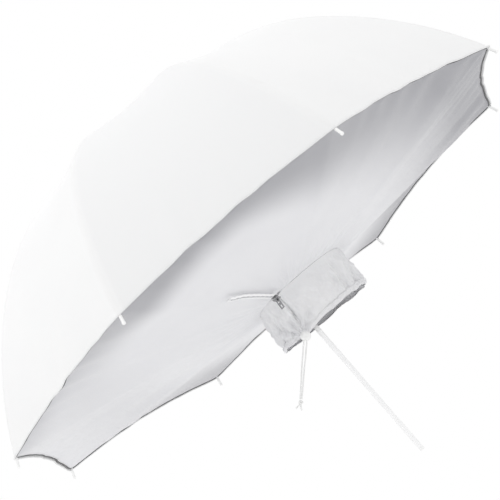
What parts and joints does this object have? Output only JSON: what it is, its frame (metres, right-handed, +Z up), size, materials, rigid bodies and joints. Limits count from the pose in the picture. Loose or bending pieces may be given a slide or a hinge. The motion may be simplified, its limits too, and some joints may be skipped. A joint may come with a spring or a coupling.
{
  "type": "umbrella reflector",
  "caption": "White folding umbrella reflector with a closed satin front, a drawstring sleeve round the shaft and a short zip, held by its shaft",
  "frame": {"origin": "on the shaft's axis, in the middle of the stretch where a stand bracket clamps it", "axes": "+Z up as the umbrella stands at its working lean, +Y across the umbrella, parallel to the rim plane, and the shaft leans 45 degrees from +Z towards -X at its crown"},
  "size_m": [0.6076, 0.7892, 0.6076],
  "materials": {
    "shaft_metal": "satin",
    "rib_metal": "satin",
    "wire": "brushed",
    "white_plastic": "matte",
    "black_plastic": "matte",
    "canopy_fabric": "matte",
    "cover_fabric": "satin",
    "sleeve_fabric": "satin",
    "binding": "matte",
    "zip_tape": "matte",
    "zip_teeth": "gloss",
    "zip_metal": "satin",
    "cord": "matte",
    "lock_plastic": "satin"
  },
  "bodies": {
    "shaft_group": {"shaft": "shaft_metal", "shaft_end_plug": "black_plastic", "crown_hub": "white_plastic", "crown_hinge_wire": "wire", "crown_rivet": "wire", "crown_cap": "white_plastic", "cover": "cover_fabric", "cover_binding": "binding", "sleeve": "sleeve_fabric", "zipper_tape": "zip_tape", "zipper_teeth": "zip_teeth", "catch_spring": "wire", "drawstring_left": "cord", "drawstring_right": "cord", "drawstring_knot": "cord"},
    "runner_group": {"runner": "black_plastic", "runner_hinge_wire": "wire"},
    "rib_group_1": {"rib_1": "rib_metal", "rib_tip_1": "white_plastic", "canopy_panel_1": "canopy_fabric"},
    "rib_group_2": {"rib_2": "rib_metal", "rib_tip_2": "white_plastic", "canopy_panel_2": "canopy_fabric"},
    "rib_group_3": {"rib_3": "rib_metal", "rib_tip_3": "white_plastic", "canopy_panel_3": "canopy_fabric"},
    "rib_group_4": {"rib_4": "rib_metal", "rib_tip_4": "white_plastic", "canopy_panel_4": "canopy_fabric"},
    "rib_group_5": {"rib_5": "rib_metal", "rib_tip_5": "white_plastic", "canopy_panel_5": "canopy_fabric"},
    "rib_group_6": {"rib_6": "rib_metal", "rib_tip_6": "white_plastic", "canopy_panel_6": "canopy_fabric"},
    "rib_group_7": {"rib_7": "rib_metal", "rib_tip_7": "white_plastic", "canopy_panel_7": "canopy_fabric"},
    "rib_group_8": {"rib_8": "rib_metal", "rib_tip_8": "white_plastic", "canopy_panel_8": "canopy_fabric"},
    "stretcher_group_1": {"stretcher_1": "rib_metal"},
    "stretcher_group_2": {"stretcher_2": "rib_metal"},
    "stretcher_group_3": {"stretcher_3": "rib_metal"},
    "stretcher_group_4": {"stretcher_4": "rib_metal"},
    "stretcher_group_5": {"stretcher_5": "rib_metal"},
    "stretcher_group_6": {"stretcher_6": "rib_metal"},
    "stretcher_group_7": {"stretcher_7": "rib_metal"},
    "stretcher_group_8": {"stretcher_8": "rib_metal"},
    "catch_group": {"open_catch": "wire"},
    "zip_slider_group": {"zipper_slider": "zip_metal"},
    "zip_pull_group": {"zipper_pull": "zip_metal"},
    "cord_lock_group": {"cord_lock": "lock_plastic", "cord_lock_spring": "wire"},
    "lock_button_group": {"cord_lock_button": "lock_plastic"}
  },
  "joints": [
    {"name": "runner_slide", "type": "slide", "parent": "shaft_group", "child": "runner_group", "axis": [0.7071, 0, -0.7071], "range_m": [0, 0.2504], "deforming": ["canopy_panel_1", "canopy_panel_2", "canopy_panel_3", "canopy_panel_4", "canopy_panel_5", "canopy_panel_6", "canopy_panel_7", "canopy_panel_8", "cover", "cover_binding", "sleeve", "zipper_tape", "zipper_teeth", "open_catch"]},
    {"name": "rib_hinge_1", "type": "hinge", "parent": "shaft_group", "child": "rib_group_1", "pos_m": [-0.34947, 0.00421, 0.36384], "axis": [-0.2706, 0.9239, -0.2706], "range_deg": [0, 54]},
    {"name": "rib_hinge_2", "type": "hinge", "parent": "shaft_group", "child": "rib_group_2", "pos_m": [-0.35368, 0.01016, 0.35964], "axis": [-0.6533, 0.3827, -0.6533], "range_deg": [0, 54]},
    {"name": "rib_hinge_3", "type": "hinge", "parent": "shaft_group", "child": "rib_group_3", "pos_m": [-0.35964, 0.01016, 0.35368], "axis": [-0.6533, -0.3827, -0.6533], "range_deg": [0, 54]},
    {"name": "rib_hinge_4", "type": "hinge", "parent": "shaft_group", "child": "rib_group_4", "pos_m": [-0.36384, 0.00421, 0.34947], "axis": [-0.2706, -0.9239, -0.2706], "range_deg": [0, 54]},
    {"name": "rib_hinge_5", "type": "hinge", "parent": "shaft_group", "child": "rib_group_5", "pos_m": [-0.36384, -0.00421, 0.34947], "axis": [0.2706, -0.9239, 0.2706], "range_deg": [0, 54]},
    {"name": "rib_hinge_6", "type": "hinge", "parent": "shaft_group", "child": "rib_group_6", "pos_m": [-0.35964, -0.01016, 0.35368], "axis": [0.6533, -0.3827, 0.6533], "range_deg": [0, 54]},
    {"name": "rib_hinge_7", "type": "hinge", "parent": "shaft_group", "child": "rib_group_7", "pos_m": [-0.35368, -0.01016, 0.35964], "axis": [0.6533, 0.3827, 0.6533], "range_deg": [0, 54]},
    {"name": "rib_hinge_8", "type": "hinge", "parent": "shaft_group", "child": "rib_group_8", "pos_m": [-0.34947, -0.00421, 0.36384], "axis": [0.2706, 0.9239, 0.2706], "range_deg": [0, 54]},
    {"name": "stretcher_hinge_1", "type": "hinge", "parent": "runner_group", "child": "stretcher_group_1", "pos_m": [-0.28496, 0.00497, 0.30194], "axis": [0.2706, -0.9239, 0.2706], "range_deg": [0, 40.82]},
    {"name": "stretcher_hinge_2", "type": "hinge", "parent": "runner_group", "child": "stretcher_group_2", "pos_m": [-0.28993, 0.01201, 0.29697], "axis": [0.6533, -0.3827, 0.6533], "range_deg": [0, 40.82]},
    {"name": "stretcher_hinge_3", "type": "hinge", "parent": "runner_group", "child": "stretcher_group_3", "pos_m": [-0.29697, 0.01201, 0.28993], "axis": [0.6533, 0.3827, 0.6533], "range_deg": [0, 40.82]},
    {"name": "stretcher_hinge_4", "type": "hinge", "parent": "runner_group", "child": "stretcher_group_4", "pos_m": [-0.30194, 0.00497, 0.28496], "axis": [0.2706, 0.9239, 0.2706], "range_deg": [0, 40.82]},
    {"name": "stretcher_hinge_5", "type": "hinge", "parent": "runner_group", "child": "stretcher_group_5", "pos_m": [-0.30194, -0.00497, 0.28496], "axis": [-0.2706, 0.9239, -0.2706], "range_deg": [0, 40.82]},
    {"name": "stretcher_hinge_6", "type": "hinge", "parent": "runner_group", "child": "stretcher_group_6", "pos_m": [-0.29697, -0.01201, 0.28993], "axis": [-0.6533, 0.3827, -0.6533], "range_deg": [0, 40.82]},
    {"name": "stretcher_hinge_7", "type": "hinge", "parent": "runner_group", "child": "stretcher_group_7", "pos_m": [-0.28993, -0.01201, 0.29697], "axis": [-0.6533, -0.3827, -0.6533], "range_deg": [0, 40.82]},
    {"name": "stretcher_hinge_8", "type": "hinge", "parent": "runner_group", "child": "stretcher_group_8", "pos_m": [-0.28496, -0.00497, 0.30194], "axis": [-0.2706, -0.9239, -0.2706], "range_deg": [0, 40.82]},
    {"name": "catch_press", "type": "slide", "parent": "shaft_group", "child": "catch_group", "axis": [-0.7071, 0, -0.7071], "range_m": [0, 0.0022], "stiffness_N_per_m": 60, "springref_m": -0.001, "deforming": ["catch_spring"]},
    {"name": "zip_run", "type": "slide", "parent": "shaft_group", "child": "zip_slider_group", "axis": [-0.3412, -0.926, -0.1615], "range_m": [0, 0.108], "deforming": ["zipper_tape", "zipper_teeth"]},
    {"name": "pull_swing", "type": "hinge", "parent": "zip_slider_group", "child": "zip_pull_group", "pos_m": [-0.15097, -0.08137, 0.12977], "axis": [0.6268, -0.3522, 0.6951], "range_deg": [-65, 75]},
    {"name": "lock_slide", "type": "slide", "parent": "shaft_group", "child": "cord_lock_group", "axis": [0, 0, -1], "range_m": [0, 0.045], "deforming": ["drawstring_left", "drawstring_right"]},
    {"name": "lock_press", "type": "slide", "parent": "cord_lock_group", "child": "lock_button_group", "axis": [0, 1, 0], "range_m": [0, 0.0014], "stiffness_N_per_m": 150, "springref_m": -0.0008, "deforming": ["cord_lock_spring"]}
  ],
  "couplings": [
    {"joint": "rib_hinge_1", "follows": "runner_slide", "rad_per_m": 3.7635},
    {"joint": "rib_hinge_2", "follows": "runner_slide", "rad_per_m": 3.7635},
    {"joint": "rib_hinge_3", "follows": "runner_slide", "rad_per_m": 3.7635},
    {"joint": "rib_hinge_4", "follows": "runner_slide", "rad_per_m": 3.7635},
    {"joint": "rib_hinge_5", "follows": "runner_slide", "rad_per_m": 3.7635},
    {"joint": "rib_hinge_6", "follows": "runner_slide", "rad_per_m": 3.7635},
    {"joint": "rib_hinge_7", "follows": "runner_slide", "rad_per_m": 3.7635},
    {"joint": "rib_hinge_8", "follows": "runner_slide", "rad_per_m": 3.7635},
    {"joint": "stretcher_hinge_1", "follows": "runner_slide", "rad_per_m": 2.8452},
    {"joint": "stretcher_hinge_2", "follows": "runner_slide", "rad_per_m": 2.8452},
    {"joint": "stretcher_hinge_3", "follows": "runner_slide", "rad_per_m": 2.8452},
    {"joint": "stretcher_hinge_4", "follows": "runner_slide", "rad_per_m": 2.8452},
    {"joint": "stretcher_hinge_5", "follows": "runner_slide", "rad_per_m": 2.8452},
    {"joint": "stretcher_hinge_6", "follows": "runner_slide", "rad_per_m": 2.8452},
    {"joint": "stretcher_hinge_7", "follows": "runner_slide", "rad_per_m": 2.8452},
    {"joint": "stretcher_hinge_8", "follows": "runner_slide", "rad_per_m": 2.8452}
  ]
}
